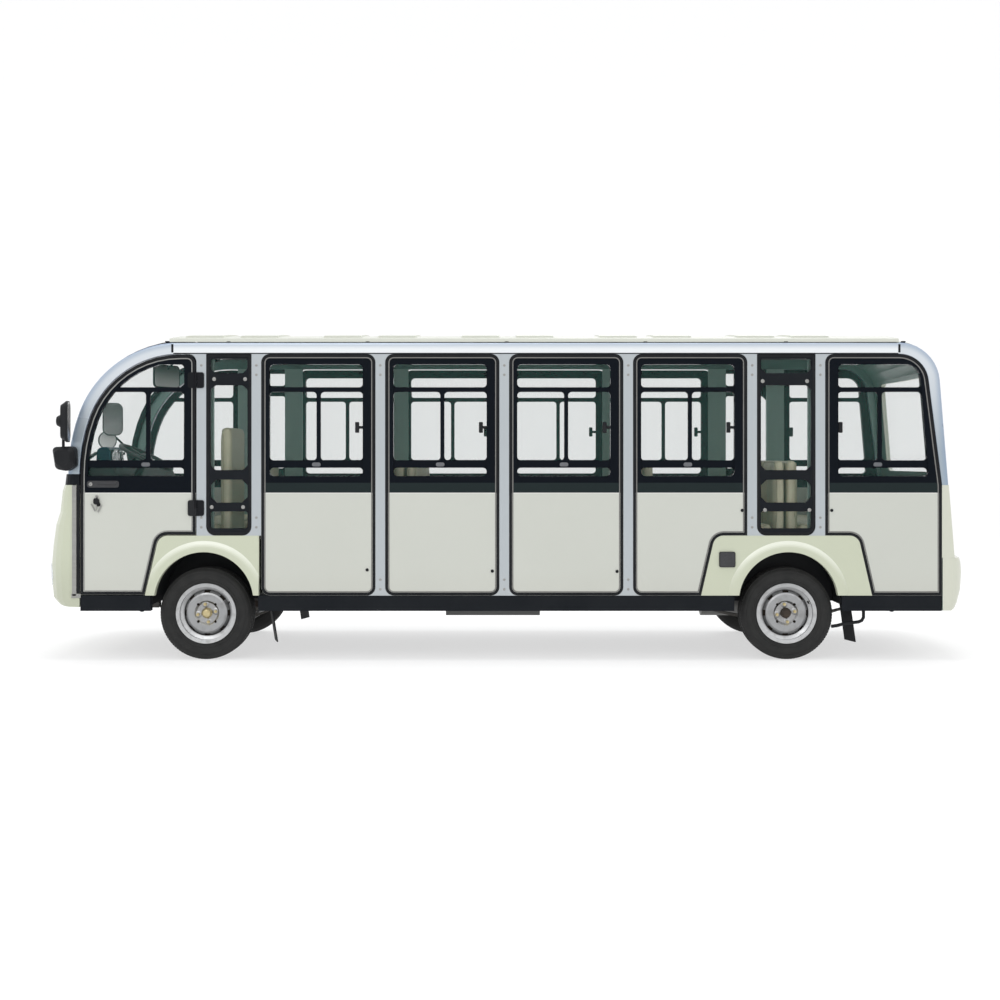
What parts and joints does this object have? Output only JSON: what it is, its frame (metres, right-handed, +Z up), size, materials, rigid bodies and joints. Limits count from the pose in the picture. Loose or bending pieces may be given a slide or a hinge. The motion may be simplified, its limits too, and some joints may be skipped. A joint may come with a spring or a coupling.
{
  "type": "electric sightseeing bus",
  "caption": "Enclosed electric sightseeing bus on four wheels, with a rounded nose, glazed side bays, hinged doors, steered front wheels and rows of seats.",
  "frame": {"origin": "on the ground, below the middle of the body's length and width", "axes": "+X towards the nose, +Y to the driver's left side, +Z up"},
  "size_m": [6.108, 1.7992, 2.157],
  "materials": {
    "silver_paint": "satin silver paint",
    "cream_paint": "gloss pale cream",
    "panel_white": "semi-gloss warm white",
    "black_trim": "gloss black",
    "black_plastic": "grained black",
    "dark_steel": "chassis black",
    "floor_vinyl": "studded vinyl",
    "tinted_glass": "green tint",
    "clear_lens": "clear lens",
    "red_lens": "red lens",
    "seat_cover": "beige vinyl",
    "seat_base": "grey moulded",
    "post_grey": "pale grey paint",
    "wheel_silver": "silver wheel paint",
    "tyre_rubber": "tyre rubber",
    "flap_rubber": "moulded rubber",
    "battery_case": "powder coat",
    "motor_case": "cast case",
    "mirror_body": "black housing"
  },
  "bodies": {
    "root": {"chassis_frame": "dark_steel", "floor_deck": "floor_vinyl", "side_sills": "black_trim", "pillars": "silver_paint", "cant_rails": "silver_paint", "arches": "silver_paint", "roof_panel": "cream_paint", "nose": "cream_paint", "windscreen_frame": "black_trim", "windscreen": "tinted_glass", "headlights": "clear_lens", "dashboard": "black_plastic", "steering_column": "black_plastic", "rear_body": "cream_paint", "rear_window": "tinted_glass", "rear_bumper": "cream_paint", "tail_lights": "red_lens", "front_fenders": "cream_paint", "rear_fenders": "cream_paint", "wheel_housings": "black_plastic", "side_panels": "panel_white", "side_glass": "tinted_glass", "narrow_frames": "black_trim", "front_seats": "seat_cover", "cabin_seats": "seat_cover", "seat_frames": "seat_base", "battery_pack": "battery_case", "drive_motor": "motor_case", "front_axle": "dark_steel", "rear_axle": "dark_steel", "leaf_springs": "dark_steel", "mud_flaps": "flap_rubber", "mirrors": "mirror_body", "inner_posts": "post_grey", "charge_cover": "black_plastic", "wipers": "black_plastic"},
    "steering_wheel": {"steering_wheel": "black_plastic"},
    "left_knuckle": {"left_knuckle": "dark_steel"},
    "right_knuckle": {"right_knuckle": "dark_steel"},
    "driver_door": {"driver_door": "panel_white", "driver_door_glass": "tinted_glass"},
    "front_right_door": {"front_right_door": "panel_white", "front_right_door_glass": "tinted_glass"},
    "right_door_2": {"right_door_2": "panel_white", "right_door_2_glass": "tinted_glass"},
    "right_door_3": {"right_door_3": "panel_white", "right_door_3_glass": "tinted_glass"},
    "right_door_4": {"right_door_4": "panel_white", "right_door_4_glass": "tinted_glass"},
    "right_door_5": {"right_door_5": "panel_white", "right_door_5_glass": "tinted_glass"},
    "front_left_wheel": {"front_left_rim": "wheel_silver", "front_left_tyre": "tyre_rubber"},
    "front_right_wheel": {"front_right_rim": "wheel_silver", "front_right_tyre": "tyre_rubber"},
    "rear_left_wheel": {"rear_left_rim": "wheel_silver", "rear_left_tyre": "tyre_rubber"},
    "rear_right_wheel": {"rear_right_rim": "wheel_silver", "rear_right_tyre": "tyre_rubber"}
  },
  "joints": [
    {"name": "driver_door_hinge", "type": "hinge", "parent": "root", "child": "driver_door", "pos_m": [2.009, 0.759, 1.3], "axis": [0, 0, 1], "range_deg": [0, 75]},
    {"name": "front_right_door_hinge", "type": "hinge", "parent": "root", "child": "front_right_door", "pos_m": [2.009, -0.759, 1.3], "axis": [0, 0, -1], "range_deg": [0, 75]},
    {"name": "right_door_2_hinge", "type": "hinge", "parent": "root", "child": "right_door_2", "pos_m": [1.586, -0.759, 1.3], "axis": [0, 0, 1], "range_deg": [0, 75]},
    {"name": "right_door_3_hinge", "type": "hinge", "parent": "root", "child": "right_door_3", "pos_m": [0.786, -0.759, 1.3], "axis": [0, 0, 1], "range_deg": [0, 75]},
    {"name": "right_door_4_hinge", "type": "hinge", "parent": "root", "child": "right_door_4", "pos_m": [-0.014, -0.759, 1.3], "axis": [0, 0, 1], "range_deg": [0, 75]},
    {"name": "right_door_5_hinge", "type": "hinge", "parent": "root", "child": "right_door_5", "pos_m": [-0.814, -0.759, 1.3], "axis": [0, 0, 1], "range_deg": [0, 75]},
    {"name": "left_steer", "type": "hinge", "parent": "root", "child": "left_knuckle", "pos_m": [1.958, 0.56, 0.3], "axis": [0, 0, 1], "range_deg": [-33, 33]},
    {"name": "right_steer", "type": "hinge", "parent": "root", "child": "right_knuckle", "pos_m": [1.958, -0.56, 0.3], "axis": [0, 0, 1], "range_deg": [-33, 33]},
    {"name": "steering_wheel_turn", "type": "hinge", "parent": "root", "child": "steering_wheel", "pos_m": [2.438, 0.37, 1.315], "axis": [-0.4384, 0, 0.8988], "range_deg": [-530, 530]},
    {"name": "front_left_spin", "type": "hinge", "parent": "left_knuckle", "child": "front_left_wheel", "pos_m": [1.958, 0.627, 0.3], "axis": [0, 1, 0], "continuous": true},
    {"name": "front_right_spin", "type": "hinge", "parent": "right_knuckle", "child": "front_right_wheel", "pos_m": [1.958, -0.627, 0.3], "axis": [0, 1, 0], "continuous": true},
    {"name": "rear_left_spin", "type": "hinge", "parent": "root", "child": "rear_left_wheel", "pos_m": [-1.814, 0.627, 0.3], "axis": [0, 1, 0], "continuous": true},
    {"name": "rear_right_spin", "type": "hinge", "parent": "root", "child": "rear_right_wheel", "pos_m": [-1.814, -0.627, 0.3], "axis": [0, 1, 0], "continuous": true}
  ],
  "couplings": [
    {"joint": "right_steer", "follows": "left_steer", "ratio": 1},
    {"joint": "steering_wheel_turn", "follows": "left_steer", "ratio": 16}
  ]
}
